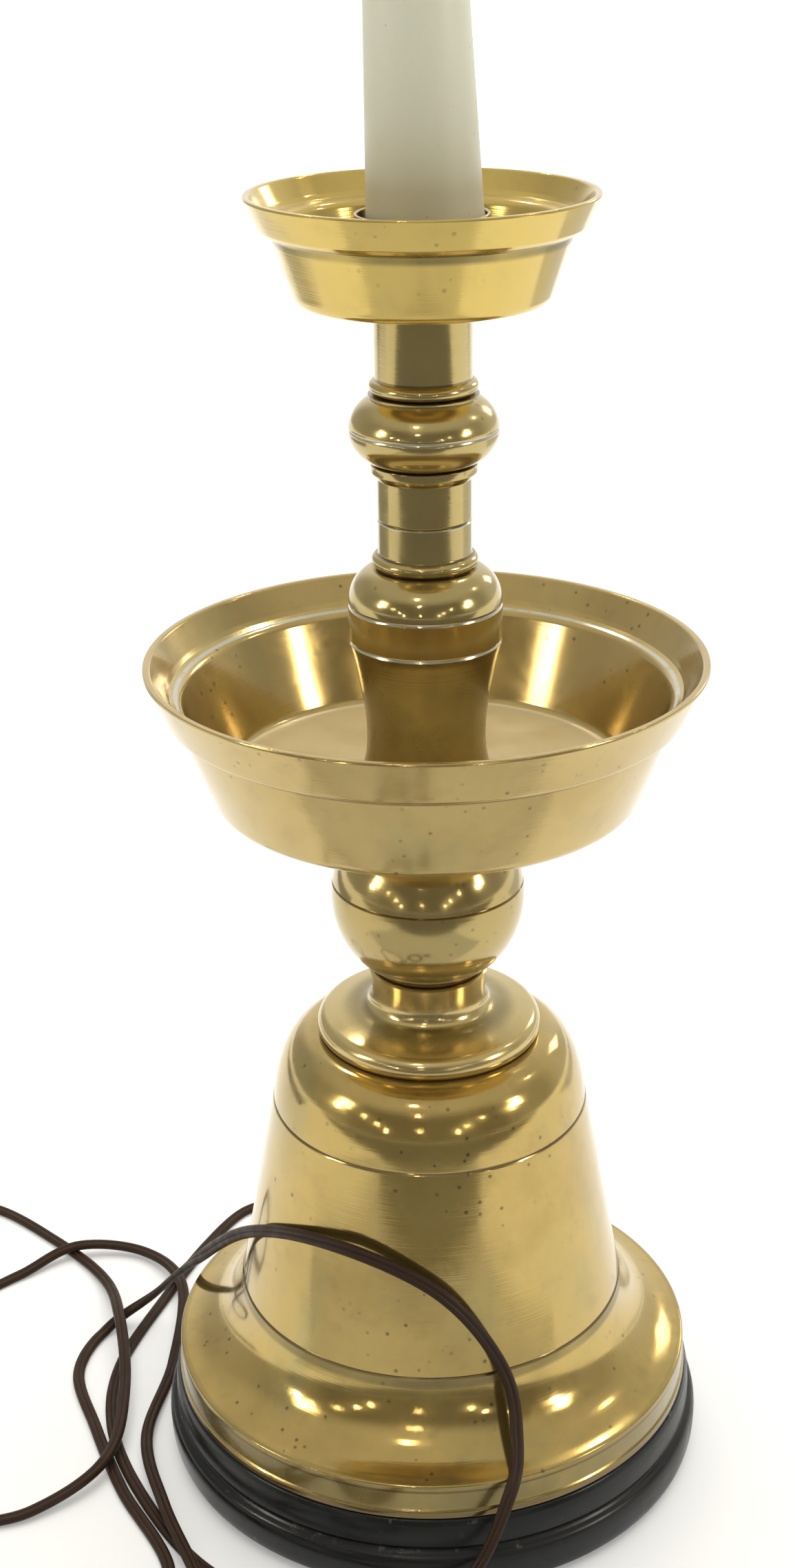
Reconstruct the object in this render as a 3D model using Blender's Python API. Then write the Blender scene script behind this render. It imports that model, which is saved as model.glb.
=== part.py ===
"""Electrified brass candlestick lamp: turned stem with two drip pans on a bell base and a black wood plinth.

The candle sleeve carries a turn-knob lamp socket. A flat twin cord leaves the plinth at the back,
lies in loops beside the lamp and ends in a small tied coil with its plug.
Written in metres, +Z up; the origin is on the table, under the middle of the plinth.
"""

import math

import bpy
import numpy as np
from mathutils import Matrix, Vector

# ---------------------------------------------------------------- driving dimensions
MM = 0.001
GAP = 0.3  # clearance between neighbouring pieces, mm; every size below is in mm too

PLINTH_R = 116.6  # black wood plinth, widest bead
PLINTH_TOP = 34.3
FELT_THICK = 1.5
RECESS_R = 30.0  # hollow under the plinth for nut and wiring
RECESS_TOP = 20.0
CORD_HOLE_Z = 12.0
CORD_HOLE_R = 4.6
CORD_ANGLE = math.radians(112.0)  # where the cord leaves the plinth, from +X

FLANGE_R = 110.0  # brass bell base
FLANGE_Z = 50.3
BELL_FOOT = (81.6, 80.0)  # scribed line where the flange flares out
BELL_SHOULDER = (65.6, 166.5)  # scribed line where the shoulder starts
BELL_TOP_Z = 197.0

DISC_R = 46.0  # disc and neck on top of the bell
DISC_Z = 200.6
KNOP_FOOT_Z = 226.5
KNOP_R = 39.2  # lower knop
KNOP_MID_Z = 259.0

PAN_Z = 304.6  # large drip pan: underside
PAN_RIM_R = 109.5
PAN_RIM_Z = 360.6
PAN_FLOOR_Z = 311.0

STEM_JOINT_Z = 415.8  # joint line half way up the upper tube
TUBE_R = 17.9
TOP_PAN_Z = 497.3  # top drip pan: underside
TOP_RIM_R = 64.3
TOP_RIM_Z = 535.7
TOP_FLOOR_Z = 501.0

SEAT_R = 24.7  # cup that the candle stands in
SEAT_RIM_Z = 528.6
SEAT_FLOOR_Z = 521.5
SLEEVE_FOOT_R = 21.6
SLEEVE_TOP_R = 16.7
SLEEVE_TALL = 130.0
SLEEVE_WALL = 1.6
SLEEVE_LEAN = math.radians(2.0)  # the candle leans a little towards -X
SLEEVE_SHIFT = 1.2

PIPE_R = 4.85  # 1/8 IP lamp pipe
PIPE_BORE_R = 3.3
BORE_R = 5.2  # clearance bore through the stacked pieces
PIPE_FOOT_Z = 11.5
PIPE_TOP_Z = 511.5

SOCKET_Z = 134.5  # socket cap's foot, above the candle's foot, along its own leaning axis
SHELL_R = 17.0
KNOB_Z = 168.0

CORD_THICK = 3.0  # flat twin cord, as a round cord of its thickness
LAID = 1.6  # height of the middle of a cord that lies on the table
COIL_CENTRE = (-62.0, -176.0)
COIL_R = 29.5
COIL_SECTION = (5.9, 3.0)  # half width and half height of the wound turns
COIL_Z = 4.4

FINE = 32  # facets round the large turnings
ROUND = 24
SMALL = 14


# ---------------------------------------------------------------- profile helpers, all in mm
def arc(centre, radii, start, end, points):
    """Points on an ellipse's arc, from start to end in degrees."""
    angles = np.radians(np.linspace(start, end, points))
    return [(centre[0] + radii[0] * math.cos(a), centre[1] + radii[1] * math.sin(a)) for a in angles]


def bend(start, corner, end, points):
    """Points on the smooth curve that leaves start towards corner and reaches end from it."""
    made = []
    for t in np.linspace(0.0, 1.0, points):
        a, b, c = (1 - t) ** 2, 2 * t * (1 - t), t * t
        made.append((a * start[0] + b * corner[0] + c * end[0], a * start[1] + b * corner[1] + c * end[1]))
    return made


# ---------------------------------------------------------------- materials
def material(name, colour, roughness, metallic=0.0):
    found = bpy.data.materials.get(name)
    if found:
        return found
    made = bpy.data.materials.new(name)
    made.use_nodes = True
    shader = made.node_tree.nodes["Principled BSDF"]
    shader.inputs["Base Color"].default_value = (*colour, 1.0)
    shader.inputs["Roughness"].default_value = roughness
    shader.inputs["Metallic"].default_value = metallic
    return made


def brass():
    return material("aged_brass", (0.52, 0.40, 0.16), 0.28, 1.0)


def steel():
    return material("zinc_steel", (0.55, 0.55, 0.53), 0.4, 1.0)


def black_wood():
    return material("black_wood", (0.018, 0.02, 0.018), 0.45)


def felt():
    return material("green_felt", (0.03, 0.07, 0.04), 0.95)


def candle_white():
    return material("candle_white", (0.80, 0.80, 0.72), 0.5)


def cord_brown():
    return material("cord_brown", (0.075, 0.045, 0.038), 0.45)


def rubber():
    return material("black_rubber", (0.02, 0.02, 0.02), 0.7)


def phenolic():
    return material("black_phenolic", (0.015, 0.015, 0.015), 0.35)


def fibre():
    return material("fibre_liner", (0.30, 0.20, 0.12), 0.85)


def bright_brass():
    return material("bright_brass", (0.72, 0.55, 0.22), 0.2, 1.0)


# ---------------------------------------------------------------- shape helpers
def add(name, mesh, finish, place=None):
    mesh.materials.append(finish)
    piece = bpy.data.objects.new(name, mesh)
    bpy.context.scene.collection.objects.link(piece)
    if place is not None:
        piece.matrix_world = place
    return piece


def turned(name, profile, finish, steps=ROUND, place=None, ring=True):
    """A turning about its own Z axis. The profile, in mm, runs down the outer side first.

    ring closes the profile for a piece with a bore; without it both ends lie on the axis.
    """
    mesh = bpy.data.meshes.new(name)
    points = [(r * MM, 0.0, z * MM) for r, z in profile]
    edges = [(i, i + 1) for i in range(len(points) - 1)]
    if ring:
        edges.append((len(points) - 1, 0))
    mesh.from_pydata(points, edges, [])
    piece = add(name, mesh, finish, place)
    screw = piece.modifiers.new("turn", "SCREW")
    screw.axis = "Z"
    screw.steps = steps
    screw.render_steps = steps
    screw.use_merge_vertices = True
    screw.merge_threshold = 0.00001
    screw.use_smooth_shade = True
    return piece


def cutter(piece, tool):
    """Cuts the tool out of the piece and keeps the tool as a hidden guide."""
    tool.hide_render = True
    tool.display_type = "WIRE"
    cut = piece.modifiers.new("cut", "BOOLEAN")
    cut.operation = "DIFFERENCE"
    cut.solver = "EXACT"
    cut.object = tool


def prism(name, outline, low, high, finish, place=None):
    """A straight solid over an outline in mm, from low to high along its own Z axis."""
    count = len(outline)
    points = [(x * MM, y * MM, z * MM) for z in (low, high) for x, y in outline]
    faces = [tuple(reversed(range(count))), tuple(range(count, 2 * count))]
    faces += [(i, (i + 1) % count, count + (i + 1) % count, count + i) for i in range(count)]
    mesh = bpy.data.meshes.new(name)
    mesh.from_pydata(points, [], faces)
    return add(name, mesh, finish, place)


def smooth_path(route, spacing):
    """Evenly spaced points, in metres, on a smooth curve through the route's points, in mm.

    No point lies lower than the middle of a cord on the table.
    """
    knots = [Vector(p) * MM for p in route]
    knots = [knots[0] * 2 - knots[1], *knots, knots[-1] * 2 - knots[-2]]
    fine = []
    for a, b, c, d in zip(knots, knots[1:], knots[2:], knots[3:]):
        for t in np.linspace(0.0, 1.0, 24, endpoint=False):
            fine.append(0.5 * (2 * b + (c - a) * t + (2 * a - 5 * b + 4 * c - d) * t**2
                               + (3 * b - a - 3 * c + d) * t**3))
    fine.append(knots[-2])
    along = np.concatenate([[0.0], np.cumsum([(q - p).length for p, q in zip(fine, fine[1:])])])
    count = max(2, round(along[-1] / spacing) + 1)
    at = np.linspace(0.0, along[-1], count)
    x, y, z = ([np.interp(s, along, [p[k] for p in fine]) for s in at] for k in range(3))
    return [Vector((a, b, max(c, LAID * MM))) for a, b, c in zip(x, y, z)]


def tube(name, points, radius, finish, facets=2):
    """A round tube with closed ends along points in metres."""
    data = bpy.data.curves.new(name, "CURVE")
    data.dimensions = "3D"
    data.bevel_depth = radius * MM
    data.bevel_resolution = facets
    data.use_fill_caps = True
    line = data.splines.new("POLY")
    line.points.add(len(points) - 1)
    for knot, point in zip(line.points, points):
        knot.co = (*point, 1.0)
    data.materials.append(finish)
    piece = bpy.data.objects.new(name, data)
    bpy.context.scene.collection.objects.link(piece)
    return piece


def outward(radius, z):
    """A point on the cord's way out of the plinth."""
    return (radius * math.cos(CORD_ANGLE), radius * math.sin(CORD_ANGLE), z)


# ---------------------------------------------------------------- plinth and what clamps it
def make_plinth():
    outline = bend((112.0, PLINTH_TOP), (114.2, 28.0), (113.4, 22.0), 4)
    outline += [(112.6, 20.4), (113.4, 19.2)]
    outline += bend((113.4, 19.2), (117.2, 18.2), (PLINTH_R, 10.0), 4)[1:]
    outline += bend((PLINTH_R, 10.0), (116.4, 3.6), (114.0, FELT_THICK + GAP), 4)[1:]
    outline += [(RECESS_R, FELT_THICK + GAP), (RECESS_R, RECESS_TOP), (BORE_R, RECESS_TOP)]
    outline += [(BORE_R, PLINTH_TOP)]
    plinth = turned("wood_plinth", outline, black_wood(), FINE)
    along = Matrix.Translation(Vector((0.0, 0.0, CORD_HOLE_Z * MM)))
    along = along @ Matrix.Rotation(CORD_ANGLE, 4, "Z") @ Matrix.Rotation(math.radians(90.0), 4, "Y")
    hole = [(0.0, 130.0), (CORD_HOLE_R, 130.0), (CORD_HOLE_R, 24.0), (0.0, 24.0)]
    cutter(plinth, turned("cord_hole", hole, black_wood(), 16, along, ring=False))

    turned("felt_pad", [(111.0, FELT_THICK), (111.0, 0.0), (31.0, 0.0), (31.0, FELT_THICK)], felt(), FINE)
    bushing = [(0.0, 139.0), (3.1, 139.0), (3.5, 137.5), (5.0, 120.4), (6.6, 119.9), (6.6, 117.2)]
    bushing += [(CORD_HOLE_R - GAP, 117.2), (CORD_HOLE_R - GAP, 104.0), (0.0, 104.0)]
    turned("cord_bushing", bushing, rubber(), 16, along, ring=False)


def make_fixings():
    turned("base_washer", [(16.0, 19.7), (16.0, 18.3), (BORE_R, 18.3), (BORE_R, 19.7)], steel(), SMALL)
    turned("lock_washer", [(9.0, 18.0), (9.0, 16.8), (BORE_R, 16.8), (BORE_R, 18.0)], steel(), SMALL)
    hexagon = [(9.2 * math.cos(math.radians(60 * i)), 9.2 * math.sin(math.radians(60 * i))) for i in range(6)]
    for name, low, high in (("base_nut", 12.6, 16.5), ("top_nut", 504.6, 508.6)):
        nut = prism(name, hexagon, low, high, steel())
        bore = [(0.0, high + 2.0), (BORE_R, high + 2.0), (BORE_R, low - 2.0), (0.0, low - 2.0)]
        cutter(nut, turned(name + "_bore", bore, steel(), SMALL, ring=False))
    pipe = [(PIPE_R, PIPE_TOP_Z), (PIPE_R, PIPE_FOOT_Z), (PIPE_BORE_R, PIPE_FOOT_Z), (PIPE_BORE_R, PIPE_TOP_Z)]
    turned("lamp_pipe", pipe, steel(), SMALL)


# ---------------------------------------------------------------- brass turnings, from the bell up
def make_bell():
    outline = [(BORE_R, BELL_TOP_Z), (45.4, BELL_TOP_Z)]
    outline += bend((45.4, BELL_TOP_Z), (61.8, BELL_TOP_Z + 0.5), BELL_SHOULDER, 8)[1:]
    outline += [(74.0, 121.0), BELL_FOOT]
    outline += bend(BELL_FOOT, (87.0, 54.0), (FLANGE_R - 0.8, FLANGE_Z), 8)[1:]
    outline += [(FLANGE_R + 0.3, 49.0), (FLANGE_R + 0.4, 38.0), (FLANGE_R + 1.2, 37.4)]
    outline += [(FLANGE_R + 1.2, PLINTH_TOP + GAP), (FLANGE_R - 3.0, PLINTH_TOP + GAP)]
    outline += [(FLANGE_R - 3.0, 46.8)]
    outline += bend((FLANGE_R - 4.0, 47.2), (84.0, 51.0), (BELL_FOOT[0] - 3.2, 80.0), 5)
    outline += [(BELL_SHOULDER[0] - 3.2, 166.5)]
    outline += bend((BELL_SHOULDER[0] - 3.2, 166.5), (59.0, 192.0), (44.0, 192.6), 4)[1:]
    outline += [(BORE_R, 192.6)]
    turned("bell_base", outline, brass(), FINE)


def make_base_cap():
    outline = [(BORE_R, KNOP_FOOT_Z - GAP), (24.3, KNOP_FOOT_Z - GAP)]
    outline += bend((24.3, KNOP_FOOT_Z - GAP), (23.2, 220.0), (23.2, 215.6), 4)[1:]
    outline += bend((23.2, 215.6), (23.2, 208.8), (30.4, 207.9), 5)[1:]
    outline += arc((DISC_R - 5.2, DISC_Z), (5.2, 5.3), 75, -28, 5)
    outline += [(44.0, BELL_TOP_Z + GAP), (BORE_R, BELL_TOP_Z + GAP)]
    turned("base_cap", outline, brass(), ROUND)


def make_lower_knop():
    outline = [(BORE_R, PAN_Z - GAP), (24.0, PAN_Z - GAP), (24.0, 294.0)]
    outline += arc((8.0, KNOP_MID_Z), (KNOP_R - 8.0, 35.5), 64, -61, 12)
    outline += [(22.2, KNOP_FOOT_Z), (BORE_R, KNOP_FOOT_Z)]
    turned("lower_knop", outline, brass(), ROUND)


def make_large_pan():
    outline = [(106.6, PAN_RIM_Z - 0.4), (107.6, PAN_RIM_Z), (108.8, PAN_RIM_Z)]
    outline += [(PAN_RIM_R, PAN_RIM_Z - 0.7)]
    outline += [(102.4, 344.2), (100.2, 341.8), (97.4, 340.8), (85.2, 308.0)]
    outline += [(84.4, 305.9), (81.8, PAN_Z), (BORE_R, PAN_Z), (BORE_R, PAN_FLOOR_Z)]
    outline += [(78.5, PAN_FLOOR_Z), (80.5, 312.4), (94.4, 345.8), (99.4, 349.0), (100.6, 350.6)]
    turned("large_drip_pan", outline, brass(), FINE)


def make_vase_stem():
    outline = [(BORE_R, STEM_JOINT_Z - GAP), (TUBE_R, STEM_JOINT_Z - GAP), (TUBE_R, 402.6)]
    outline += arc((17.8, 399.9), (2.7, 2.5), 75, -75, 5)
    outline += [(20.6, 396.6)]
    outline += bend((20.6, 396.6), (28.9, 393.6), (29.7, 382.6), 6)[1:]
    outline += [(29.7, 368.4)]
    outline += bend((29.7, 368.4), (26.5, 356.0), (23.6, 337.0), 4)[1:]
    outline += bend((23.4, 334.0), (22.4, 318.0), (27.4, PAN_FLOOR_Z + GAP), 5)
    outline += [(BORE_R, PAN_FLOOR_Z + GAP)]
    turned("vase_stem", outline, brass(), ROUND)


def make_upper_stem():
    outline = [(BORE_R, TOP_PAN_Z - GAP), (19.2, TOP_PAN_Z - GAP), (18.4, 493.6), (18.2, 469.2)]
    outline += arc((17.7, 466.4), (3.0, 2.5), 75, -75, 5)
    outline += [(21.2, 463.2)]
    outline += arc((12.0, 450.2), (16.6, 13.6), 58, -62, 9)
    outline += [(20.2, 437.4), (20.2, 434.0), (18.6, 432.6), (TUBE_R, 431.6)]
    outline += [(TUBE_R, STEM_JOINT_Z), (BORE_R, STEM_JOINT_Z)]
    turned("upper_stem", outline, brass(), ROUND)


def make_top_pan():
    outline = [(61.8, TOP_RIM_Z - 0.3), (62.6, TOP_RIM_Z), (63.6, TOP_RIM_Z), (TOP_RIM_R, TOP_RIM_Z - 0.6)]
    outline += [(60.2, 526.2), (58.2, 523.4), (54.7, 522.0), (47.4, 500.4), (46.4, 498.2), (44.2, TOP_PAN_Z)]
    outline += [(BORE_R, TOP_PAN_Z), (BORE_R, TOP_FLOOR_Z), (43.2, TOP_FLOOR_Z), (44.6, 502.0)]
    outline += [(52.0, 524.8), (56.6, 527.0), (58.0, 528.4)]
    turned("top_drip_pan", outline, brass(), FINE)


def make_seat():
    outline = [(SEAT_R - 1.0, SEAT_RIM_Z), (SEAT_R, SEAT_RIM_Z - 0.4), (SEAT_R, 519.0), (20.0, 512.0)]
    outline += [(20.0, TOP_FLOOR_Z + GAP), (10.4, TOP_FLOOR_Z + GAP), (10.4, SEAT_FLOOR_Z)]
    outline += [(SEAT_R - 1.4, SEAT_FLOOR_Z), (SEAT_R - 1.4, SEAT_RIM_Z - 0.5)]
    turned("candle_cup", outline, brass(), ROUND)


# ---------------------------------------------------------------- candle and lamp socket, on one leaning axis
def candle_axis():
    """The leaning frame whose origin is the middle of the sleeve's foot."""
    foot = Matrix.Translation(Vector((SLEEVE_SHIFT, 0.0, SEAT_FLOOR_Z + GAP + 0.8)) * MM)
    return foot @ Matrix.Rotation(-SLEEVE_LEAN, 4, "Y")


def knob_axis():
    """The switch's turning axis as local Z, pointing out of the socket's side."""
    middle = candle_axis() @ Matrix.Translation(Vector((0.0, 0.0, KNOB_Z * MM)))
    return middle @ Matrix.Rotation(math.radians(90.0), 4, "Y")


def make_candle():
    place = candle_axis()
    sleeve = [(SLEEVE_TOP_R, SLEEVE_TALL), (SLEEVE_FOOT_R, 0.0)]
    sleeve += [(SLEEVE_FOOT_R - SLEEVE_WALL, 0.0), (SLEEVE_TOP_R - SLEEVE_WALL, SLEEVE_TALL)]
    turned("candle_sleeve", sleeve, candle_white(), ROUND, place)
    cap = [(18.0, SLEEVE_TALL + 2.4), (18.3, SLEEVE_TALL + 1.2), (18.0, SLEEVE_TALL + GAP)]
    cap += [(BORE_R, SLEEVE_TALL + GAP), (BORE_R, SLEEVE_TALL + 2.4)]
    turned("sleeve_cap", cap, brass(), ROUND, place)
    turned("candle_pipe", [(PIPE_R, 140.0), (PIPE_R, -8.0), (PIPE_BORE_R, -8.0), (PIPE_BORE_R, 140.0)],
           steel(), SMALL, place)
    centring = [(17.4, 62.0), (17.6, 58.0), (BORE_R, 58.0), (BORE_R, 62.0)]
    turned("sleeve_spacer", centring, fibre(), SMALL, place)


def make_coupling():
    outline = [(8.6, 524.0), (8.6, 509.2), (6.4, 509.2), (6.4, 524.0)]
    turned("pipe_coupling", outline, steel(), SMALL)


def make_socket():
    place = candle_axis()
    low = SOCKET_Z
    cap = [(7.6, low), (BORE_R, low), (BORE_R, low + 2.0), (9.0, low + 2.6), (14.8, low + 13.0)]
    cap += [(15.4, low + 18.4), (SHELL_R + 0.9, low + 18.4), (SHELL_R + 0.9, low + 14.6)]
    cap += [(16.6, low + 12.4), (9.6, low + 1.0)]
    turned("socket_cap", cap, brass(), ROUND, place)
    shell = [(SHELL_R - 0.4, low + 59.0), (SHELL_R + 0.2, low + 58.4), (SHELL_R, low + 52.0)]
    shell += [(SHELL_R, low + 18.9), (SHELL_R - 0.9, low + 18.9), (SHELL_R - 0.9, low + 59.0)]
    outer = turned("socket_shell", shell, brass(), ROUND, place)
    hole = [(0.0, 30.0), (3.2, 30.0), (3.2, 8.0), (0.0, 8.0)]
    cutter(outer, turned("knob_hole", hole, brass(), 16, knob_axis(), ring=False))
    liner = [(15.7, low + 58.0), (15.7, low + 38.4), (14.6, low + 38.4), (14.6, low + 58.0)]
    turned("socket_liner", liner, fibre(), SMALL, place)
    threads = [(14.2, low + 57.0)]
    for turn in range(5):
        z = low + 55.0 - 3.6 * turn
        threads += [(14.2, z), (13.5, z - 1.8)]
    threads += [(14.2, low + 38.6), (11.0, low + 38.6), (11.0, low + 39.4), (12.8, low + 39.4)]
    threads += [(12.8, low + 57.0)]
    turned("screw_shell", threads, bright_brass(), SMALL, place)
    body = [(0.0, low + 38.2), (14.4, low + 38.2), (14.4, low + 20.0), (0.0, low + 20.0)]
    block = turned("switch_body", body, phenolic(), SMALL, place, ring=False)
    bore = [(0.0, 22.0), (2.4, 22.0), (2.4, 3.0), (0.0, 3.0)]
    cutter(block, turned("switch_bore", bore, phenolic(), 16, knob_axis(), ring=False))
    contact = [(0.0, low + 41.6), (3.4, low + 41.0), (4.6, low + 38.5), (0.0, low + 38.5)]
    turned("centre_contact", contact, bright_brass(), 16, place, ring=False)


def make_switch_knob():
    place = knob_axis()
    shaft = [(0.0, 24.0), (1.9, 24.0), (1.9, 4.0), (0.0, 4.0)]
    turned("knob_shaft", shaft, bright_brass(), 12, place, ring=False)
    wing = []
    for i in range(24):
        a = math.radians(15 * i)
        reach = 5.2 + 1.4 * math.cos(2 * a)
        wing.append((reach * math.cos(a), reach * math.sin(a)))
    prism("switch_knob", wing, 24.3, 37.0, phenolic(), place)


# ---------------------------------------------------------------- cord
CORD_ROUTE = [
    # out of the plinth at the back, forwards beside the lamp, round its front
    outward(139.3, CORD_HOLE_Z), outward(156.0, 8.0), (-72, 157, 3.0), (-94, 154, LAID), (-112, 124, LAID),
    (-128, 82, LAID), (-144, 30, LAID), (-143, -12, LAID), (-127, -54, LAID), (-97, -99, LAID),
    (-60, -124, LAID), (-16, -130, 2.0), (14, -123, 15.0),
    # over the flange, leaning on the bell, and down to the table at the left
    (30, -112.5, 46.0), (34, -96.5, 59.5), (29, -81, 84.0), (4, -79, 119.0), (-38, -67, 134.5),
    (-76, -24.5, 112.0), (-107, 33, 57.0), (-131, 60, 18.5), (-153, 56, 2.6), (-163, 24, LAID),
    (-150, -15, LAID), (-133, -56, LAID), (-108, -104, LAID),
    # a turn in front, back in at the left and away behind it
    (-119, -138, LAID), (-158, -153, LAID), (-202, -142, LAID), (-222, -112, LAID), (-206, -82, LAID),
    (-170, -70, 3.0), (-142, -42, 6.6), (-139, 4, 8.2), (-148, 56, 10.0), (-162, 96, 3.0), (-192, 130, LAID),
    # a turn at the left, over the loops and forwards to the coil
    (-227, 157, LAID), (-257, 155, LAID), (-268, 127, LAID), (-253, 95, LAID), (-226, 83, LAID),
    (-203, 98, 2.0), (-177, 117, 5.8), (-143, 115, 3.6), (-121, 84, 5.6), (-120, 30, LAID),
    (-126, -24, 4.0), (-113, -72, 7.4), (-94, -116, 5.0), (-92.4, -142, 2.4), (-93.2, -156.2, 4.0),
]


def make_cord():
    tube("cord_run", smooth_path(CORD_ROUTE, 0.0235), CORD_THICK / 2, cord_brown())
    inner = [outward(103.7, CORD_HOLE_Z), outward(60.0, 11.6), outward(30.0, 9.6), outward(14.0, 5.4)]
    inner += [outward(4.0, 4.4), (0.0, 0.0, 8.0), (0.0, 0.0, 16.0), (0.0, 0.0, 40.0)]
    inner += [(0.0, 0.0, z) for z in range(80, 500, 60)] + [(0.0, 0.0, 508.0)]
    tube("cord_in_pipe", [Vector(p) * MM for p in inner], CORD_THICK / 2, cord_brown())


def make_coil():
    """Coil of the cord's spare length, held by a tie that passes under and over its turns."""
    middle = Matrix.Translation(Vector((*COIL_CENTRE, COIL_Z)) * MM)
    ring = arc((COIL_R, 0.0), COIL_SECTION, 90, -234, 10)
    turned("cord_coil", ring, cord_brown(), ROUND, middle)
    place = Matrix.Translation(Vector((COIL_CENTRE[0], COIL_CENTRE[1] + COIL_R, COIL_Z)) * MM)
    place = place @ Matrix.Rotation(math.radians(90.0), 4, "Y")
    width, height = COIL_SECTION
    outer = arc((0.0, 0.0), (height + 1.2, width + 1.2), 0, 345, 24)
    inner = arc((0.0, 0.0), (height + GAP, width + GAP), 0, 345, 24)
    tie = prism("coil_tie", outer, -2.5, 2.5, rubber(), place)
    cutter(tie, prism("tie_hollow", inner, -5.0, 5.0, rubber(), place))


def make_plug():
    """Flat two-blade plug on a short tail that leaves the coil's near side."""
    start = COIL_CENTRE[0] + 16.5
    centre = COIL_CENTRE[1] - COIL_R - 3.6
    tail = [(start, centre + 0.4, COIL_Z), (start + 10.0, centre, 5.2), (start + 19.0, centre, 6.3)]
    tube("cord_tail", smooth_path(tail, 0.009), CORD_THICK / 2, cord_brown())
    low = start + 19.0 + GAP
    outline = [(0.0, 3.2), (3.0, 4.6), (10.0, 6.6), (16.0, 9.0), (25.0, 11.6), (30.0, 11.6)]
    outline = [(low + x, centre - y) for x, y in outline] + [(low + x, centre + y) for x, y in outline[::-1]]
    prism("plug_body", outline, 0.3, 12.3, phenolic())
    face = low + 30.0 + GAP
    for name, offset in (("plug_blade_left", 6.35), ("plug_blade_right", -6.35)):
        y = centre + offset
        blade = [(face, y - 0.75), (face + 17.0, y - 0.75), (face + 17.0, y + 0.75), (face, y + 0.75)]
        prism(name, blade, 3.2, 9.4, bright_brass())


def main():
    for old in list(bpy.data.objects):
        bpy.data.objects.remove(old, do_unlink=True)
    make_plinth()
    make_fixings()
    make_bell()
    make_base_cap()
    make_lower_knop()
    make_large_pan()
    make_vase_stem()
    make_upper_stem()
    make_top_pan()
    make_seat()
    make_coupling()
    make_candle()
    make_socket()
    make_switch_knob()
    make_cord()
    make_coil()
    make_plug()


main()
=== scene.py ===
import math

import bmesh
import bpy
import numpy as np
from mathutils import Matrix, Vector


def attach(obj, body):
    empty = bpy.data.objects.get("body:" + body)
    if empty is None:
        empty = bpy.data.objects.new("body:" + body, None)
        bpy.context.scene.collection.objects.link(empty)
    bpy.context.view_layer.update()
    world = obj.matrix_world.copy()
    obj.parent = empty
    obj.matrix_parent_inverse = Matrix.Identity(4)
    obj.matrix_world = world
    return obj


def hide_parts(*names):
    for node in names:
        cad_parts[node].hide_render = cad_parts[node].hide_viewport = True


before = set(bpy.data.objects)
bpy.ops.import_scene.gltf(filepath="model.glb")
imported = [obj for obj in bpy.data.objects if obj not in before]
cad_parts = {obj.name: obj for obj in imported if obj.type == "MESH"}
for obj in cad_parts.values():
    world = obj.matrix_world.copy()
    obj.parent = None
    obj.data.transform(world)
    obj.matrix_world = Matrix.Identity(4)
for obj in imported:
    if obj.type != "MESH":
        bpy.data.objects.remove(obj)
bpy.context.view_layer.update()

MM = 0.001
LAMP = "lamp"
KNOB = "knob"

# the leaning axis of the candle and its lamp socket
CANDLE_FOOT = Vector((1.2, 0.0, 522.6)) * MM
CANDLE_LEAN = math.radians(2.0)
CANDLE = Matrix.Translation(CANDLE_FOOT) @ Matrix.Rotation(-CANDLE_LEAN, 4, "Y")
KNOB_AXIS = CANDLE @ Matrix.Translation(Vector((0, 0, 168)) * MM)
KNOB_AXIS = KNOB_AXIS @ Matrix.Rotation(math.radians(90), 4, "Y")
SOCKET_Z = 134.5  # the socket cap's foot along the leaning axis, mm

# the stage, in metres
STAGE_MIDDLE = Vector((0.0, 0.0, 0.25))  # what the lights aim at
LIGHT_AWAY = 2.6
STRIP_AWAY = 2.3
FLOOR_REACH = 12.0
BACKDROP_R = 14.0
FAR_GLOW = 0.78

# the free cord: a flat twin lamp cord, sizes in mm
CORD_WIDE = 5.4
CORD_THICK = 3.3
CORD_ANGLE = math.radians(112.0)
CORD_HOLE_Z = 12.0
LAID = 1.6  # height of its middle on the table
COIL_CENTRE = (-62.0, -176.0)
COIL_R = 29.5
COIL_Z = 4.4
TAIL_X = COIL_CENTRE[0] + 16.5  # where the straight tail to the plug starts
TAIL_Y = COIL_CENTRE[1] - COIL_R - 3.6
PLUG_X = TAIL_X + 19.3

# extra points beside the corners of a turned profile, in mm
BRACE_ANGLE = math.radians(8.0)
BRACE_LENGTH = 1.2
BRACE_GAP = 0.22


# ---------------------------------------------------------------- camera, floor and light
def look_matrix(place, pitch, yaw, roll):
    """World matrix of a camera at place that looks along +Y, turned right by yaw and down by pitch."""
    forward = Vector((math.sin(yaw) * math.cos(pitch), math.cos(yaw) * math.cos(pitch), -math.sin(pitch)))
    level = Vector((math.cos(yaw), -math.sin(yaw), 0.0))
    above = level.cross(forward)
    right = level * math.cos(roll) + above * math.sin(roll)
    up = above * math.cos(roll) - level * math.sin(roll)
    turn = Matrix((right, up, -forward)).transposed().to_4x4()
    return Matrix.Translation(place) @ turn


def make_camera():
    data = bpy.data.cameras.new("camera")
    data.lens = 50.71
    data.sensor_width = 36.0
    data.clip_start = 0.05
    data.clip_end = 60.0
    camera = bpy.data.objects.new("camera", data)
    bpy.context.scene.collection.objects.link(camera)
    camera.matrix_world = look_matrix(Vector((0.0, -0.8046, 0.6532)), 0.40694, -0.014483, -0.014018)
    bpy.context.scene.camera = camera


def flat_sheet(name, outline, z, mat):
    mesh = bpy.data.meshes.new(name)
    mesh.from_pydata([(x, y, z) for x, y in outline], [], [tuple(range(len(outline)))])
    mesh.materials.append(mat)
    sheet = bpy.data.objects.new(name, mesh)
    bpy.context.scene.collection.objects.link(sheet)
    return sheet


def oblong(left, right, near, far):
    return [(left, near), (right, near), (right, far), (left, far)]


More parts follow.
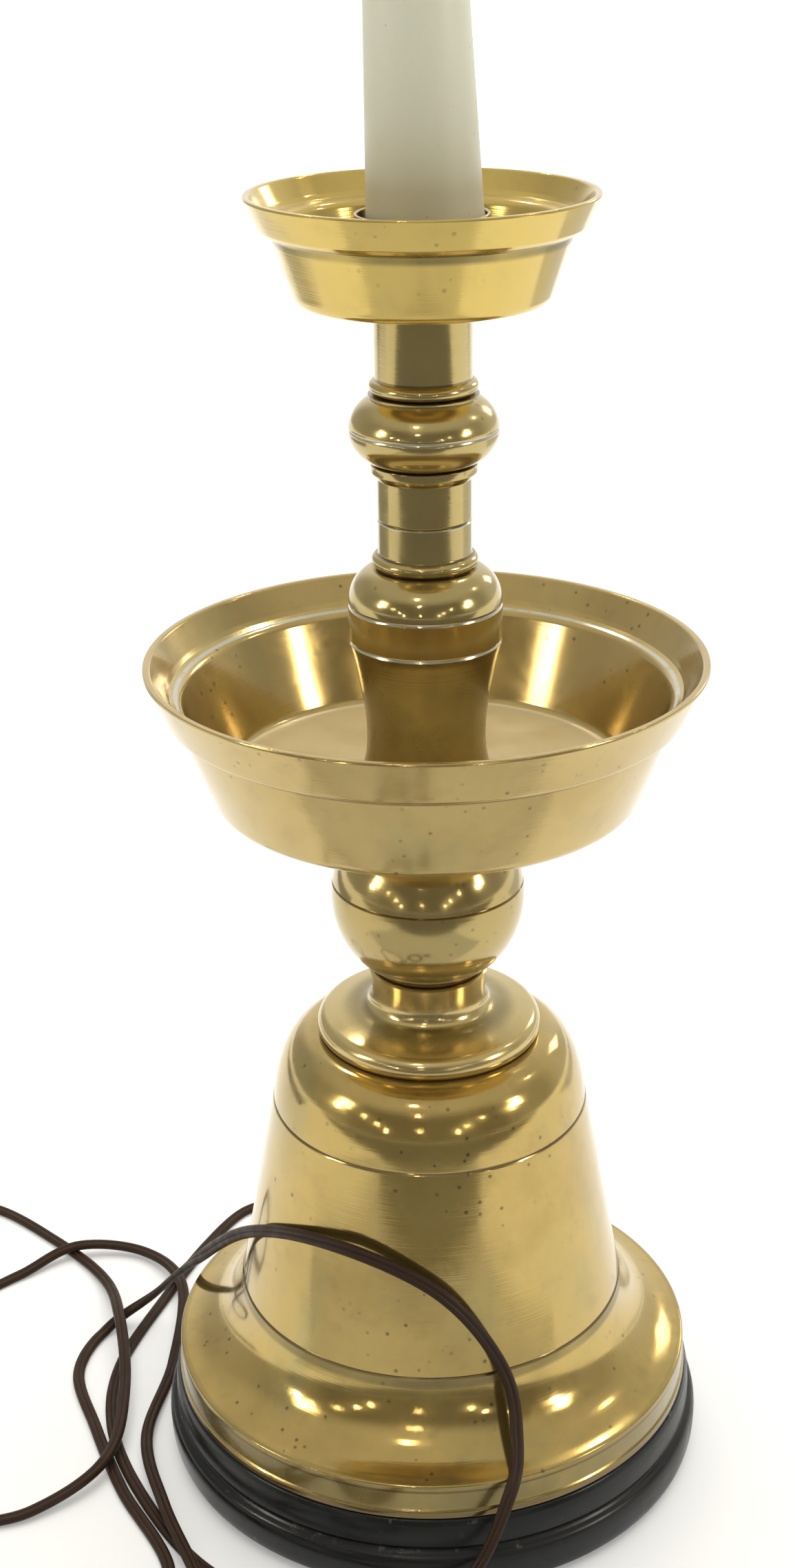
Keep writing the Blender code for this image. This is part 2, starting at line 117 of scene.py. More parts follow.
def plain(name, colour, glow):
    mat = bpy.data.materials.new(name)
    mat.use_nodes = True
    shader = mat.node_tree.nodes["Principled BSDF"]
    shader.inputs["Base Color"].default_value = (*colour, 1.0)
    shader.inputs["Roughness"].default_value = 0.9
    shader.inputs["Specular IOR Level"].default_value = 0.1
    shader.inputs["Emission Color"].default_value = (1.0, 1.0, 0.985, 1.0)
    shader.inputs["Emission Strength"].default_value = glow
    return mat


def brighter_outwards(mat, near, far):
    """Raises the glow from one distance to the other, in metres, so that the far floor stays pale."""
    tree = mat.node_tree
    coord = tree.nodes.new("ShaderNodeTexCoord")
    length = tree.nodes.new("ShaderNodeVectorMath")
    length.operation = "LENGTH"
    tree.links.new(coord.outputs["Object"], length.inputs[0])
    ramp = tree.nodes.new("ShaderNodeMapRange")
    glow = tree.nodes["Principled BSDF"].inputs["Emission Strength"]
    ramp.inputs["From Min"].default_value = near
    ramp.inputs["From Max"].default_value = far
    ramp.inputs["To Min"].default_value = glow.default_value
    ramp.inputs["To Max"].default_value = FAR_GLOW
    tree.links.new(length.outputs["Value"], ramp.inputs["Value"])
    tree.links.new(ramp.outputs[0], glow)


def make_backdrop():
    """A pale sphere far outside the floor, which only the camera sees."""
    shell = bmesh.new()
    bmesh.ops.create_uvsphere(shell, u_segments=48, v_segments=24, radius=BACKDROP_R)
    mesh = bpy.data.meshes.new("backdrop")
    shell.to_mesh(mesh)
    shell.free()
    mesh.materials.append(plain("backdrop_pale", (0.0, 0.0, 0.0), 0.97))
    backdrop = bpy.data.objects.new("backdrop", mesh)
    bpy.context.scene.collection.objects.link(backdrop)
    backdrop.visible_glossy = False
    backdrop.visible_diffuse = False
    backdrop.visible_shadow = False


def make_floor():
    """A white table top, and grey cards on it that only reflections show."""
    white = plain("floor_white", (0.80, 0.80, 0.79), 0.25)
    brighter_outwards(white, 0.8, 4.0)
    flat_sheet("floor", oblong(-FLOOR_REACH, FLOOR_REACH, -FLOOR_REACH, FLOOR_REACH), 0.0, white)
    figure = [(0.42 * x, -0.66 + 0.14 * y) for x, y in arc((0.0, 0.0), (1.0, 1.0), 0.0, 180.0, 24)]
    cards = (
        ("near_card", oblong(-0.44, 0.30, -0.66, -0.125), 0.0004, 0.74),
        ("left_card", oblong(-1.6, -0.8, 0.2, 1.3), 0.0004, 0.34),
        ("right_card", oblong(0.62, 1.5, 0.4, 1.4), 0.0004, 0.76),
        ("figure_card", figure, 0.001, 0.19),
        ("far_card", oblong(-6.0, 6.0, -8.0, -0.66), 0.002, 0.17),
    )
    for name, outline, z, glow in cards:
        card = flat_sheet(name, outline, z, plain(name, (0.0, 0.0, 0.0), glow))
        card.visible_camera = False
        card.visible_diffuse = False
        card.visible_shadow = False


def towards(azimuth, elevation, distance):
    """A place seen from the lamp's middle; azimuth 0 is the front (-Y) and 90 is +X."""
    a, e = math.radians(azimuth), math.radians(elevation)
    way = Vector((math.sin(a) * math.cos(e), -math.cos(a) * math.cos(e), math.sin(e)))
    return way * distance + STAGE_MIDDLE


def add_light(name, place, size, power, colour, shape="DISK"):
    data = bpy.data.lights.new(name, "AREA")
    data.shape = shape
    data.size = size[0]
    data.size_y = size[1]
    data.energy = power
    data.color = colour
    light = bpy.data.objects.new(name, data)
    bpy.context.scene.collection.objects.link(light)
    light.location = place
    aim = STAGE_MIDDLE - Vector(place)
    light.rotation_euler = aim.to_track_quat("-Z", "Y").to_euler()
    return light


def make_world():
    """A room that is pale behind the table and darker in front of it and overhead."""
    world = bpy.data.worlds.new("studio")
    bpy.context.scene.world = world
    world.use_nodes = True
    tree = world.node_tree
    coord = tree.nodes.new("ShaderNodeTexCoord")
    split = tree.nodes.new("ShaderNodeSeparateXYZ")
    tree.links.new(coord.outputs["Generated"], split.inputs[0])

    def fade(source, low, high):
        node = tree.nodes.new("ShaderNodeMapRange")
        node.interpolation_type = "SMOOTHSTEP"
        node.inputs["From Min"].default_value = low
        node.inputs["From Max"].default_value = high
        tree.links.new(source, node.inputs["Value"])
        return node.outputs[0]

    def mix(factor, first, second):
        node = tree.nodes.new("ShaderNodeMix")
        node.data_type = "RGBA"
        tree.links.new(factor, node.inputs["Factor"])
        for name, value in (("A", first), ("B", second)):
            if isinstance(value, tuple):
                node.inputs[name].default_value = (*value, 1.0)
            else:
                tree.links.new(value, node.inputs[name])
        return node.outputs["Result"]

    front = (0.20, 0.185, 0.16)
    overhead = (0.66, 0.645, 0.60)
    wall = (1.0, 0.99, 0.96)
    side = (0.42, 0.41, 0.39)
    low = mix(fade(split.outputs["Y"], -0.62, -0.25), front, side)
    back = mix(fade(split.outputs["X"], -0.30, -0.62), wall, (0.50, 0.49, 0.46))
    back = mix(fade(split.outputs["X"], 0.34, 0.62), back, (0.74, 0.73, 0.69))
    low = mix(fade(split.outputs["Y"], 0.05, 0.55), low, back)
    room = mix(fade(split.outputs["Z"], 0.42, 0.74), low, overhead)
    tree.links.new(room, tree.nodes["Background"].inputs["Color"])


def make_light():
    make_world()
    bpy.context.scene.view_settings.view_transform = "Standard"
    soft = add_light("ceiling_soft", (0.25, 0.75, 2.6), (3.2, 3.2), 68.0, (1.0, 0.985, 0.955), "SQUARE")
    soft.visible_glossy = False
    warm = (1.0, 0.93, 0.80)
    strips = (("left", -68, 0.44, 5.4), ("right", 70, 0.30, 6.4), ("back", 142, 0.40, 3.0))
    for name, azimuth, width, power in strips:
        place = towards(azimuth, 22, STRIP_AWAY)
        strip = add_light("strip_" + name, place, (width, 0.50), power, warm, "RECTANGLE")
        strip.visible_diffuse = False
        strip.visible_camera = False
    lamps = (
        (-72, 14, 0.10), (65, 17, 0.13), (107, 41, 0.06), (-16, 53, 0.08), (-9, 31, 0.06),
        (-70, 25, 0.05), (-49, 16, 0.04), (-38, 11, 0.04), (-31, 6, 0.04), (39, 18, 0.04),
        (27, 12, 0.04), (20, 7, 0.04), (-7, 9, 0.03), (150, 52, 0.08), (-160, 46, 0.08),
    )
    for i, (azimuth, elevation, size) in enumerate(lamps):
        place = towards(azimuth, elevation, LIGHT_AWAY)
        spark = add_light(f"lamp_{i}", place, (size, size), 420.0 * size * size, warm)
        spark.visible_diffuse = False
        spark.visible_camera = False


# ---------------------------------------------------------------- node helpers
class Finish:
    """A Principled material and short calls that add nodes to it."""

    def __init__(self, name, colour, roughness, metallic=0.0, **sockets):
        self.material = bpy.data.materials.new(name)
        self.material.use_nodes = True
        self.tree = self.material.node_tree
        self.shader = self.tree.nodes["Principled BSDF"]
        self.shader.inputs["Base Color"].default_value = (*colour, 1.0)
        self.shader.inputs["Roughness"].default_value = roughness
        self.shader.inputs["Metallic"].default_value = metallic
        for key, value in sockets.items():
            self.shader.inputs[key.replace("_", " ")].default_value = value
        self.colour = None
        self.base = colour
        self.coord = self.tree.nodes.new("ShaderNodeTexCoord").outputs["Object"]
        self.split = self.tree.nodes.new("ShaderNodeSeparateXYZ")
        self.tree.links.new(self.coord, self.split.inputs[0])

    def put(self, socket, value):
        if isinstance(value, bpy.types.NodeSocket):
            self.tree.links.new(value, socket)
        else:
            socket.default_value = value

    def math(self, kind, a, b=0.0):
        node = self.tree.nodes.new("ShaderNodeMath")
        node.operation = kind
        for socket, value in zip(node.inputs, (a, b)):
            self.put(socket, value)
        return node.outputs[0]

    def noise(self, scale, detail=3.0, rough=0.55, vector=None, distortion=0.0):
        node = self.tree.nodes.new("ShaderNodeTexNoise")
        self.put(node.inputs["Vector"], vector or self.coord)
        node.inputs["Scale"].default_value = scale
        node.inputs["Detail"].default_value = detail
        node.inputs["Roughness"].default_value = rough
        node.inputs["Distortion"].default_value = distortion
        return node.outputs["Fac"]

    def spots(self, scale, reach):
        """1 inside small round spots of a given share of their cell, else 0."""
        node = self.tree.nodes.new("ShaderNodeTexVoronoi")
        self.put(node.inputs["Vector"], self.coord)
        node.inputs["Scale"].default_value = scale
        return self.ramp(node.outputs["Distance"], reach, reach * 0.4)

    def ramp(self, value, low, high, to_low=0.0, to_high=1.0):
        node = self.tree.nodes.new("ShaderNodeMapRange")
        node.interpolation_type = "SMOOTHSTEP"
        self.put(node.inputs["Value"], value)
        node.inputs["From Min"].default_value = low
        node.inputs["From Max"].default_value = high
        node.inputs["To Min"].default_value = to_low
        node.inputs["To Max"].default_value = to_high
        return node.outputs[0]

    def stretched(self, x, y, z):
        node = self.tree.nodes.new("ShaderNodeMapping")
        self.put(node.inputs["Vector"], self.coord)
        node.inputs["Scale"].default_value = (x, y, z)
        return node.outputs[0]

    def radius(self):
        x = self.math("MULTIPLY", self.split.outputs["X"], self.split.outputs["X"])
        y = self.math("MULTIPLY", self.split.outputs["Y"], self.split.outputs["Y"])
        return self.math("SQRT", self.math("ADD", x, y))

    def rings(self, fine):
        """Coordinates that change across a turned surface and hardly round it."""
        join = self.tree.nodes.new("ShaderNodeCombineXYZ")
        self.put(join.inputs["X"], self.math("MULTIPLY", self.radius(), fine))
        self.put(join.inputs["Y"], self.math("MULTIPLY", self.split.outputs["X"], 6.0))
        self.put(join.inputs["Z"], self.math("MULTIPLY", self.split.outputs["Z"], fine))
        return join.outputs[0]

    def level(self, z, half):
        """1 within half (mm) of the height z (mm), fading to 0."""
        away = self.math("ABSOLUTE", self.math("SUBTRACT", self.split.outputs["Z"], z * MM))
        return self.ramp(away, half * 1.5 * MM, half * 0.5 * MM)

    def line(self, spot):
        """1 on a band round a turning: (height, half width[, least radius, greatest radius]), in mm."""
        found = self.level(spot[0], spot[1])
        if len(spot) > 2:
            r = self.radius()
            found = self.math("MULTIPLY", found, self.ramp(r, (spot[2] - 0.4) * MM, (spot[2] + 0.4) * MM))
            found = self.math("MULTIPLY", found, self.ramp(r, (spot[3] + 0.4) * MM, (spot[3] - 0.4) * MM))
        return found

    def tint(self, factor, colour):
        node = self.tree.nodes.new("ShaderNodeMix")
        node.data_type = "RGBA"
        self.put(node.inputs["Factor"], factor)
        if self.colour is None:
            node.inputs["A"].default_value = (*self.base, 1.0)
        else:
            self.put(node.inputs["A"], self.colour)
        node.inputs["B"].default_value = (*colour, 1.0)
        self.colour = node.outputs["Result"]
        self.put(self.shader.inputs["Base Color"], self.colour)

    def rough(self, value):
        self.put(self.shader.inputs["Roughness"], value)

    def bump(self, height, strength, distance):
        node = self.tree.nodes.new("ShaderNodeBump")
        node.inputs["Strength"].default_value = strength
        node.inputs["Distance"].default_value = distance
        self.put(node.inputs["Height"], height)
        last = self.shader.inputs["Normal"]
        if last.is_linked:
            self.put(node.inputs["Normal"], last.links[0].from_socket)
        self.put(last, node.outputs[0])


# ---------------------------------------------------------------- materials
def brass(name, colour=(0.50, 0.372, 0.13), roughness=0.15, tarnish=0.5, dark=(), pale=(), brown=(),
          dust_and_glare=None, dust_and_glare_colour=(0.74, 0.61, 0.34), metal=0.86):
    """Aged, lacquered brass. dark, pale and brown are bands round it: see Finish.line.

    dust_and_glare is the band of a level surface where dust has dulled the metal and a paler colour is
    painted, a painted highlight of glare.
    """
    made = Finish(name, colour, roughness, metal, Coat_Weight=0.5, Coat_Roughness=0.06)
    cloud = made.noise(16.0, 5.0, 0.6)
    made.tint(made.math("MULTIPLY", made.ramp(cloud, 0.42, 0.72), 0.55 * tarnish), (0.36, 0.24, 0.07))
    green = made.noise(27.0, 4.0, 0.6, made.stretched(1.0, 1.0, 0.5), 0.6)
    made.tint(made.math("MULTIPLY", made.ramp(green, 0.52, 0.75), 0.5 * tarnish), (0.38, 0.34, 0.14))
    mottle = made.noise(75.0, 4.0, 0.65)
    made.tint(made.math("MULTIPLY", made.ramp(mottle, 0.5, 0.8), 0.35 * tarnish), (0.27, 0.20, 0.08))
    speck = made.math("MULTIPLY", made.spots(150.0, 0.17), made.ramp(made.noise(20.0, 2.0), 0.46, 0.6))
    made.tint(made.math("MULTIPLY", speck, min(1.0, 1.1 * tarnish)), (0.20, 0.135, 0.055))
    lines = made.noise(1.0, 2.0, 0.6, made.rings(1500.0))
    smudge = made.noise(38.0, 4.0, 0.6, None, 0.8)
    worn = made.ramp(smudge, 0.4, 0.8, roughness - 0.03, roughness + 0.09)
    worn = made.math("ADD", worn, made.math("MULTIPLY", lines, 0.03))
    # brown bands: grime (stains and residue) together with painted shade in fillets and under steps, and a
    # painted dark reflection on the vase's lower part; they also roughen the metal.
    for band in brown:
        patchy = made.ramp(made.noise(24.0, 4.0), 0.25, 0.6, 0.45, 0.85)
        grime_and_shade = made.math("MULTIPLY", made.line(band), patchy)
        made.tint(grime_and_shade, (0.22, 0.172, 0.058))
        worn = made.math("ADD", worn, made.math("MULTIPLY", grime_and_shade, 0.14))
    # dark bands: painted shade in grooves, at joints between parts and under steps, partly tarnish residue.
    for band in dark:
        made.tint(made.math("MULTIPLY", made.line(band), 0.8), (0.14, 0.09, 0.04))
    # pale bands: painted highlights, pale lines where edges and ledges catch the light.
    for band in pale:
        broken = made.ramp(made.noise(90.0, 3.0), 0.3, 0.5, 0.45, 1.0)
        made.tint(made.math("MULTIPLY", made.line(band), broken), (0.60, 0.57, 0.45))
    # level band: dust that dulls the metal (less metallic, rougher), with a paler colour painted over it as
    # a painted highlight of glare on the pan floors.
    if dust_and_glare is not None:
        uneven = made.ramp(made.noise(35.0, 4.0), 0.25, 0.6, 0.7, 1.0)
        paler_patch = made.math("MULTIPLY", made.line(dust_and_glare), uneven)
        made.tint(paler_patch, dust_and_glare_colour)
        made.put(made.shader.inputs["Metallic"], made.ramp(paler_patch, 0.0, 1.0, metal, 0.42))
        worn = made.math("ADD", worn, made.math("MULTIPLY", paler_patch, 0.22))
    made.rough(worn)
    made.bump(lines, 0.09, 0.0002)
    made.bump(made.noise(45.0, 2.0, 0.5), 0.05, 0.0012)
    return made.material


def bright_brass():
    made = Finish("bright_brass", (0.72, 0.55, 0.24), 0.2, 1.0)
    made.tint(made.math("MULTIPLY", made.noise(120.0), 0.4), (0.50, 0.36, 0.14))
    made.bump(made.noise(1.0, 2.0, 0.6, made.rings(1500.0)), 0.1, 0.0002)
    return made.material


def steel():
    made = Finish("zinc_steel", (0.52, 0.52, 0.50), 0.38, 1.0)
    made.tint(made.math("MULTIPLY", made.ramp(made.noise(90.0, 5.0), 0.5, 0.7), 0.6), (0.30, 0.24, 0.18))
    thread = made.tree.nodes.new("ShaderNodeTexWave")
    thread.bands_direction = "Z"
    thread.inputs["Scale"].default_value = 150.0
    made.put(thread.inputs["Vector"], made.coord)
    made.bump(thread.outputs["Fac"], 0.25, 0.0003)
    return made.material


def black_wood():
    made = Finish("black_wood", (0.004, 0.0045, 0.004), 0.36, 0.0, Specular_IOR_Level=0.35)
    grain = made.noise(30.0, 4.0, 0.6, made.stretched(1.0, 7.0, 1.0))
    made.tint(made.math("MULTIPLY", made.ramp(grain, 0.45, 0.75), 0.5), (0.012, 0.012, 0.010))
    for height in (33.4, 19.4, 6.0):
        broken = made.ramp(made.noise(130.0, 4.0), 0.62, 0.70)
        chips = made.math("MULTIPLY", made.level(height, 1.0), broken)
        made.tint(made.math("MULTIPLY", chips, 0.6), (0.13, 0.12, 0.10))
    paler_patch = made.ramp(made.noise(220.0, 3.0), 0.62, 0.8)
    made.tint(made.math("MULTIPLY", paler_patch, 0.10), (0.16, 0.16, 0.14))
    made.rough(made.ramp(made.noise(26.0, 4.0), 0.35, 0.7, 0.20, 0.40))
    made.bump(grain, 0.12, 0.0006)
    made.bump(made.noise(9.0, 2.0), 0.2, 0.003)
    return made.material


def felt():
    made = Finish("green_felt", (0.030, 0.062, 0.036), 0.95, 0.0, Sheen_Weight=0.4)
    fibre = made.noise(900.0, 3.0, 0.7)
    made.tint(fibre, (0.055, 0.10, 0.06))
    made.bump(fibre, 0.6, 0.0006)
    return made.material


def candle_white():
    made = Finish("candle_white", (0.77, 0.755, 0.60), 0.42, 0.0,
                  Subsurface_Weight=0.12, Subsurface_Scale=0.004)
    made.tint(made.math("MULTIPLY", made.ramp(made.noise(22.0, 4.0), 0.45, 0.75), 0.4), (0.71, 0.69, 0.53))
    made.tint(made.math("MULTIPLY", made.spots(120.0, 0.07), 0.5), (0.36, 0.31, 0.24))
    made.rough(made.ramp(made.noise(60.0, 3.0), 0.3, 0.7, 0.34, 0.52))
    made.bump(made.noise(14.0, 2.0), 0.25, 0.0025)
    made.bump(made.noise(400.0, 2.0), 0.06, 0.0003)
    return made.material


def cord_brown():
    made = Finish("cord_brown", (0.030, 0.014, 0.007), 0.5, 0.0, Specular_IOR_Level=0.22)
    made.tint(made.math("MULTIPLY", made.noise(70.0, 4.0), 0.7), (0.055, 0.027, 0.013))
    made.tint(made.math("MULTIPLY", made.spots(260.0, 0.1), 0.25), (0.12, 0.09, 0.07))
    made.rough(made.ramp(made.noise(120.0), 0.3, 0.7, 0.38, 0.56))
    made.bump(made.noise(700.0, 2.0), 0.15, 0.0003)
    return made.material


def dull(name, colour, roughness, scale=300.0, strength=0.2):
    """Moulded or pressed stuff with a fine even grain."""
    made = Finish(name, colour, roughness)
    grain = made.noise(scale, 3.0)
    lighter = tuple(min(1.0, 1.6 * c + 0.01) for c in colour)
    made.tint(made.math("MULTIPLY", grain, 0.6), lighter)
    made.bump(grain, strength, 0.0004)
    return made.material


# ---------------------------------------------------------------- profiles, in mm
def arc(centre, radii, start, end, points):
    angles = np.radians(np.linspace(start, end, points))
    return [(centre[0] + radii[0] * math.cos(a), centre[1] + radii[1] * math.sin(a)) for a in angles]


def bend(start, corner, end, points):
    """A smooth curve that leaves start towards corner and arrives at end from it."""
    made = []
    for t in np.linspace(0.0, 1.0, points):
        a, b, c = (1 - t) ** 2, 2 * t * (1 - t), t * t
        made.append((a * start[0] + b * corner[0] + c * end[0], a * start[1] + b * corner[1] + c * end[1]))
    return made


def eased(outline):
    """Rounds each corner that carries a third value, its radius."""
    made = []
    count = len(outline)
    for i, point in enumerate(outline):
        here = Vector(point[:2])
        reach = point[2] if len(point) > 2 else 0.0
        if reach == 0.0:
            made.append(tuple(here))
            continue
        before = Vector(outline[i - 1][:2]) - here
        after = Vector(outline[(i + 1) % count][:2]) - here
        cut = min(reach, 0.45 * before.length, 0.45 * after.length)
        made += bend(here + before.normalized() * cut, here, here + after.normalized() * cut, 5)
    return made


# ---------------------------------------------------------------- mesh builders
def keep(name, mesh, body, finish, nodes=(), place=None):
    mesh.materials.append(finish)
    piece = bpy.data.objects.new(name, mesh)
    bpy.context.scene.collection.objects.link(piece)
    if place is not None:
        piece.matrix_world = place
    if nodes:
        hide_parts(*nodes)
    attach(piece, body)
    return piece


def smooth(mesh, angle=35.0):
    mesh.shade_smooth()
    mesh.set_sharp_from_angle(angle=math.radians(angle))


def braced(points, closed):
    """Adds a point just beside each real corner, so that shading stays true along the straights."""
    made = []
    count = len(points)
    for i, point in enumerate(points):
        here = Vector(point)
        before = Vector(points[i - 1]) - here
        after = Vector(points[(i + 1) % count]) - here
        end = not closed and i in (0, count - 1)
        if end or min(before.length, after.length) < 1e-4:
            made.append(tuple(here))
            continue
        turn = math.pi - before.angle(after)
        if turn > BRACE_ANGLE and before.length > BRACE_LENGTH:
            made.append(tuple(here + before.normalized() * BRACE_GAP))
        made.append(tuple(here))
        if turn > BRACE_ANGLE and after.length > BRACE_LENGTH:
            made.append(tuple(here + after.normalized() * BRACE_GAP))
    return made


def lathe_mesh(name, outline, steps=128, closed=True):
    """A turning about +Z over an outline in mm; an open outline starts and ends on the axis."""
    points = braced(eased(outline), closed)
    rings = []
    verts = []
    for r, z in points:
        if not closed and abs(r) < 1e-6:
            rings.append([len(verts)] * steps)
            verts.append((0.0, 0.0, z * MM))
            continue
        rings.append(list(range(len(verts), len(verts) + steps)))
        for k in range(steps):
            a = 2 * math.pi * k / steps
            verts.append((r * math.cos(a) * MM, r * math.sin(a) * MM, z * MM))
    faces = []
    pairs = list(zip(rings, rings[1:]))
    if closed:
        pairs.append((rings[-1], rings[0]))
    for upper, lower in pairs:
        for k in range(steps):
            n = (k + 1) % steps
            face = [upper[k], lower[k], lower[n], upper[n]]
            faces.append(list(dict.fromkeys(face)))
    mesh = bpy.data.meshes.new(name)
    mesh.from_pydata(verts, [], faces)
    smooth(mesh)
    return mesh


def lathe(name, node, outline, finish, steps=128, closed=True, place=None, body=LAMP):
    return keep(name, lathe_mesh(name, outline, steps, closed), body, finish, (node,), place)


def drill(piece, place, radius, low, high):
    """Cuts a round hole along place's Z axis, from low to high in mm."""
    mesh = lathe_mesh("drill", [(0, high), (radius, high), (radius, low), (0, low)], 32, False)
    tool = bpy.data.objects.new("drill", mesh)
    bpy.context.scene.collection.objects.link(tool)
    tool.matrix_world = place
    cut = piece.modifiers.new("hole", "BOOLEAN")
    cut.object = tool
    cut.solver = "EXACT"
    bpy.context.view_layer.update()
    done = bpy.data.meshes.new_from_object(piece.evaluated_get(bpy.context.evaluated_depsgraph_get()))
    piece.modifiers.clear()
    piece.data = done
    bpy.data.objects.remove(tool, do_unlink=True)


def plate(name, outline, low, high, ease=0.4, rings=3):
    """A straight solid over an outline in mm with eased edges."""
    work = bmesh.new()
    verts = [work.verts.new((x * MM, y * MM, low * MM)) for x, y in outline]
    base = work.faces.new(verts)
    made = bmesh.ops.extrude_face_region(work, geom=[base])
    raised = [v for v in made["geom"] if isinstance(v, bmesh.types.BMVert)]
    bmesh.ops.translate(work, verts=raised, vec=(0, 0, (high - low) * MM))
    bmesh.ops.recalc_face_normals(work, faces=work.faces)
    sharp = [e for e in work.edges if e.calc_face_angle(0.0) > math.radians(40)]
    bmesh.ops.bevel(work, geom=sharp, offset=ease * MM, segments=rings, profile=0.6, affect="EDGES")
    mesh = bpy.data.meshes.new(name)
    work.to_mesh(mesh)
    work.free()
    smooth(mesh, 30.0)
    return mesh


# ---------------------------------------------------------------- the free cord
def outward(radius, z):
    return (radius * math.cos(CORD_ANGLE), radius * math.sin(CORD_ANGLE), z)


CORD_ROUTE = [
    # out of the plinth at the back, forwards beside the lamp, round its front
    outward(139.3, CORD_HOLE_Z), outward(156.0, 8.0), (-72, 157, 3.0), (-94, 154, LAID), (-112, 124, LAID),
    (-128, 82, LAID), (-144, 30, LAID), (-143, -12, LAID), (-127, -54, LAID), (-97, -99, LAID),
    (-60, -124, LAID), (-16, -130, 2.0), (14, -123, 15.0),
    # over the flange, leaning on the bell, and down to the table at the left
    (30, -112.5, 46.0), (34, -96.5, 59.5), (29, -81, 84.0), (4, -79, 119.0), (-38, -67, 134.5),
    (-76, -24.5, 112.0), (-107, 33, 57.0), (-131, 60, 18.5), (-153, 56, 2.6), (-163, 24, LAID),
    (-150, -15, LAID), (-133, -56, LAID), (-108, -104, LAID),
    # a turn in front, back in at the left and away behind it
    (-119, -138, LAID), (-158, -153, LAID), (-202, -142, LAID), (-222, -112, LAID), (-206, -82, LAID),
    (-170, -70, 3.0), (-142, -42, 6.6), (-139, 4, 8.2), (-148, 56, 10.0), (-162, 96, 3.0),
    (-192, 130, LAID),
    # a turn at the left, over the loops and forwards to the coil
    (-227, 157, LAID), (-257, 155, LAID), (-268, 127, LAID), (-253, 95, LAID), (-226, 83, LAID),
    (-203, 98, 2.0), (-177, 117, 5.8), (-143, 115, 3.6), (-121, 84, 5.6), (-120, 30, LAID),
    (-126, -24, 4.0), (-113, -72, 7.4), (-94, -116, 5.0), (-92.4, -142, 2.4), (-93.2, -156.2, 4.0),
]


def coil_route():
    """Two turns side by side on the table, over the tie's lower band, and a last quarter on top."""
    made = []
    for angle in range(168, 984, 15):
        inner = min(max((angle - 470) / 70.0, 0.0), 1.0)
        leave = min(max((angle - 880) / 100.0, 0.0), 1.0)
        climb = min(max((angle - 785) / 70.0, 0.0), 1.0)
        enter = min(max((200 - angle) / 40.0, 0.0), 1.0)
        r = 32.3 - 5.6 * inner * inner * (3 - 2 * inner) + 6.4 * leave * leave + 1.6 * enter * enter
        off_tie = ((angle - 90.0) % 360.0 + 180.0) % 360.0 - 180.0
        z = LAID + 1.3 * math.exp(-(off_tie / 22.0) ** 2) + 3.0 * climb * climb * (3 - 2 * climb)
        a = math.radians(angle)
        made.append((COIL_CENTRE[0] + r * math.cos(a), COIL_CENTRE[1] + r * math.sin(a), z))
    return made


def smooth_path(route, spacing):
    """Evenly spaced points, in metres, on a smooth curve through the route's points, in mm.

    No point lies lower than the middle of a cord on the table.
    """
    knots = [Vector(p) * MM for p in route]
    knots = [knots[0] * 2 - knots[1], *knots, knots[-1] * 2 - knots[-2]]
    fine = []
    for a, b, c, d in zip(knots, knots[1:], knots[2:], knots[3:]):
        for t in np.linspace(0.0, 1.0, 24, endpoint=False):
            fine.append(0.5 * (2 * b + (c - a) * t + (2 * a - 5 * b + 4 * c - d) * t**2
                               + (3 * b - a - 3 * c + d) * t**3))
    fine.append(knots[-2])
    along = np.concatenate([[0.0], np.cumsum([(q - p).length for p, q in zip(fine, fine[1:])])])
    count = max(2, round(along[-1] / spacing) + 1)
    at = np.linspace(0.0, along[-1], count)
    x, y, z = ([np.interp(s, along, [p[k] for p in fine]) for s in at] for k in range(3))
    return [Vector((a, b, max(c, LAID * MM))) for a, b, c in zip(x, y, z)]


def twin_section():
    """Outline of the flat twin cord, in mm: two round lobes joined by a web."""
    lobe = CORD_THICK / 2
    middle = CORD_WIDE / 2 - lobe
    right = arc((middle, 0.0), (lobe, lobe), -140, 140, 11)
    left = [(-x, y) for x, y in reversed(right)]
    web = 0.62 * lobe
    return [*right, (0.0, web), *left, (0.0, -web)]


def cord_mesh(name, path):
    """Sweeps the twin section along the path. It lies flat, and turns its flat side to the bell."""
    section = twin_section()
    verts = []
    for i, point in enumerate(path):
        along = (path[min(i + 1, len(path) - 1)] - path[max(i - 1, 0)]).normalized()
        lean = min(max((point.z - 0.030) / 0.045, 0.0), 1.0)
        lean = lean * lean * (3 - 2 * lean)
        outward_way = Vector((point.x, point.y, 0.012)).normalized()
        raised = outward_way * 0.15 + Vector((0.0, -0.80, 0.62))
        facing = (Vector((0, 0, 1)) * (1 - lean) + raised * lean).normalized()
        wide = along.cross(facing).normalized()
        facing = wide.cross(along).normalized()
        free = min(max((point.z - LAID * MM) / 0.012, 0.0), 1.0)
        loose = (0.06 + 0.14 * free) * math.sin(i * 0.031)
        loose += (0.03 + 0.08 * free) * math.sin(i * 0.083 + 1.0)
        wide, facing = (wide * math.cos(loose) + facing * math.sin(loose),
                        facing * math.cos(loose) - wide * math.sin(loose))
        for x, y in section:
            corner = point + (wide * x + facing * y) * MM
            corner.z = max(corner.z, 0.0)
            verts.append(corner)
    n = len(section)
    faces = []
    for i in range(len(path) - 1):
        for k in range(n):
            a, b = i * n + k, i * n + (k + 1) % n
            faces.append((a, b, b + n, a + n))
    faces.append(tuple(reversed(range(n))))
    faces.append(tuple(range(len(verts) - n, len(verts))))
    mesh = bpy.data.meshes.new(name)
    mesh.from_pydata(verts, [], faces)
    work = bmesh.new()
    work.from_mesh(mesh)
    bmesh.ops.recalc_face_normals(work, faces=work.faces)
    work.to_mesh(mesh)
    work.free()
    smooth(mesh, 50.0)
    return mesh


